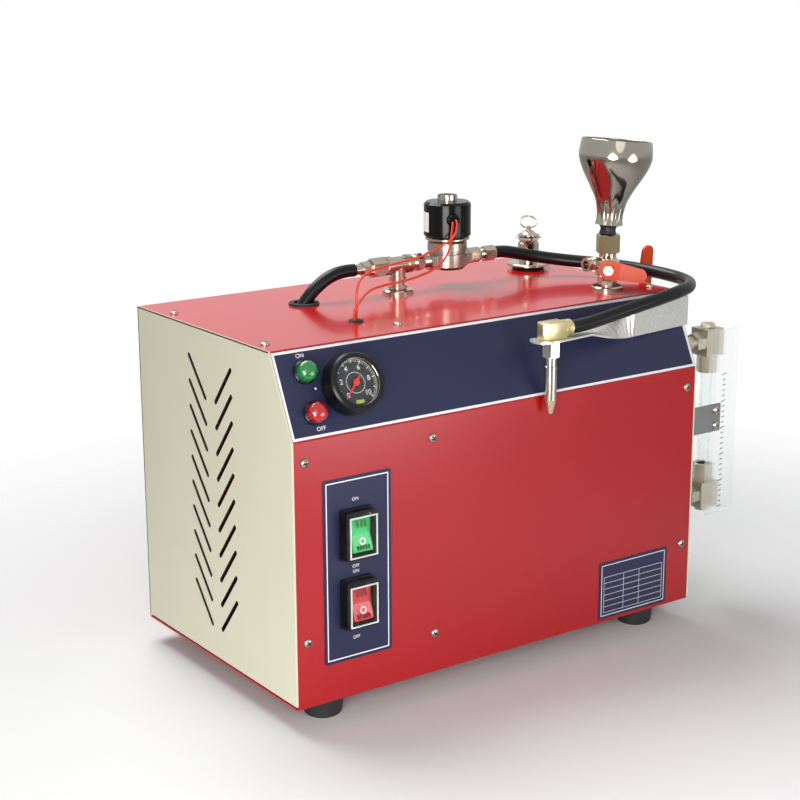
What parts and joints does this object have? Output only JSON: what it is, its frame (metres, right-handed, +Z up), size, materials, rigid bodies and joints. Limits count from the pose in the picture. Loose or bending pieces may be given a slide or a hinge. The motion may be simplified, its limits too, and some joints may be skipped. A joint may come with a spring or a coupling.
{
  "type": "jewelry steam cleaner",
  "caption": "Counter-top steam cleaner for jewellery with filling funnel, steam valve, hose with nozzle, pressure gauge, rocker switches and a side level gauge",
  "frame": {"origin": "middle of the rectangle that the whole cleaner covers, on the surface it stands on, measured without the hoses and wires", "axes": "+Z up, +X to the right seen from the front, -Y towards the front with the switches, the gauge and the nozzle"},
  "size_m": [0.475, 0.2714, 0.4262],
  "materials": {
    "red_paint": "gloss enamel",
    "cream_paint": "satin enamel",
    "rubber_black": "matt",
    "screw_steel": "bright zinc",
    "navy_film": "printed film",
    "boiler_steel": "mill finish",
    "bracket_steel": "polished stainless",
    "black_plastic": "moulded",
    "dial_print": "printed",
    "clear_plastic": "clear",
    "needle_red": "satin",
    "green_plastic": "translucent",
    "red_plastic": "translucent",
    "nickel_brass": "nickel plated",
    "raw_brass": "machined",
    "orange_grip": "dipped",
    "hose_rubber": "smooth",
    "wire_red": "silicone"
  },
  "bodies": {
    "casing": {"base_tray": "red_paint", "front_panel": "red_paint", "top_cover": "red_paint", "rear_panel": "red_paint", "side_panel_left": "cream_paint", "side_panel_right": "cream_paint", "feet": "rubber_black", "casing_screws": "screw_steel", "control_overlay": "navy_film", "switch_plate": "navy_film", "rating_plate": "navy_film", "boiler_tank": "boiler_steel", "boiler_saddles": "boiler_steel", "heating_element": "raw_brass", "pressure_switch": "black_plastic", "control_relay": "black_plastic", "gauge_case": "black_plastic", "gauge_dial": "dial_print", "gauge_lens": "clear_plastic", "lamp_bezels": "black_plastic", "green_lens": "green_plastic", "red_lens": "red_plastic", "switch_bodies": "black_plastic", "switch_boots": "clear_plastic", "riser_pipes": "nickel_brass", "flange_washers": "nickel_brass", "outlet_tee": "nickel_brass", "pipe_nipples": "nickel_brass", "pipe_nuts": "nickel_brass", "solenoid_body": "nickel_brass", "solenoid_coil": "black_plastic", "grommets": "rubber_black", "safety_valve_body": "nickel_brass", "filler_valve_body": "nickel_brass", "filler_vent": "nickel_brass", "funnel_nut": "nickel_brass", "funnel_seal": "rubber_black", "funnel": "bracket_steel", "side_valve_body": "nickel_brass", "level_fittings": "nickel_brass", "level_glass": "clear_plastic", "level_guard": "clear_plastic", "guard_brackets": "bracket_steel", "nozzle_bracket": "bracket_steel", "nozzle_elbow": "raw_brass", "nozzle_tip": "nickel_brass", "rear_connectors": "black_plastic", "steam_hose": "hose_rubber", "gauge_hose": "hose_rubber", "coil_wires": "wire_red"},
    "pedal_rocker": {"pedal_rocker": "green_plastic"},
    "power_rocker": {"power_rocker": "red_plastic"},
    "gauge_needle": {"gauge_needle": "needle_red"},
    "filling_lever": {"filler_lever": "orange_grip", "filler_ball": "raw_brass"},
    "side_lever": {"side_lever": "orange_grip", "side_ball": "raw_brass"},
    "safety_stem": {"safety_valve_stem": "nickel_brass"},
    "pull_ring": {"pull_ring": "nickel_brass"},
    "valve_plunger": {"solenoid_plunger": "boiler_steel"}
  },
  "joints": [
    {"name": "pedal_switch", "type": "hinge", "parent": "casing", "child": "pedal_rocker", "pos_m": [-0.1825, -0.12025, 0.1525], "axis": [1, 0, 0], "range_deg": [0, 20]},
    {"name": "power_switch", "type": "hinge", "parent": "casing", "child": "power_rocker", "pos_m": [-0.1825, -0.12025, 0.097], "axis": [1, 0, 0], "range_deg": [0, 20]},
    {"name": "needle_turn", "type": "hinge", "parent": "casing", "child": "gauge_needle", "pos_m": [-0.1785, -0.10325, 0.263], "axis": [0, -0.9055, 0.4244], "range_deg": [-270, 0], "stiffness_Nm_per_rad": 0.0005},
    {"name": "filling_valve", "type": "hinge", "parent": "casing", "child": "filling_lever", "pos_m": [0.1265, -0.05225, 0.315], "axis": [-0.6428, -0.766, 0], "range_deg": [0, 90]},
    {"name": "side_valve", "type": "hinge", "parent": "casing", "child": "side_lever", "pos_m": [0.1995, -0.00125, 0.276], "axis": [0, 1, 0], "range_deg": [0, 90]},
    {"name": "safety_lift", "type": "slide", "parent": "casing", "child": "safety_stem", "axis": [0, 0, 1], "range_m": [0, 0.003], "stiffness_N_per_m": 1500, "springref_m": -0.004},
    {"name": "ring_swing", "type": "hinge", "parent": "safety_stem", "child": "pull_ring", "pos_m": [0.135, 0.06575, 0.3325], "axis": [0.8192, -0.5736, 0], "range_deg": [-48, 145]},
    {"name": "plunger_lift", "type": "slide", "parent": "casing", "child": "valve_plunger", "axis": [0, 0, 1], "range_m": [0, 0.003], "stiffness_N_per_m": 300, "springref_m": -0.003}
  ]
}
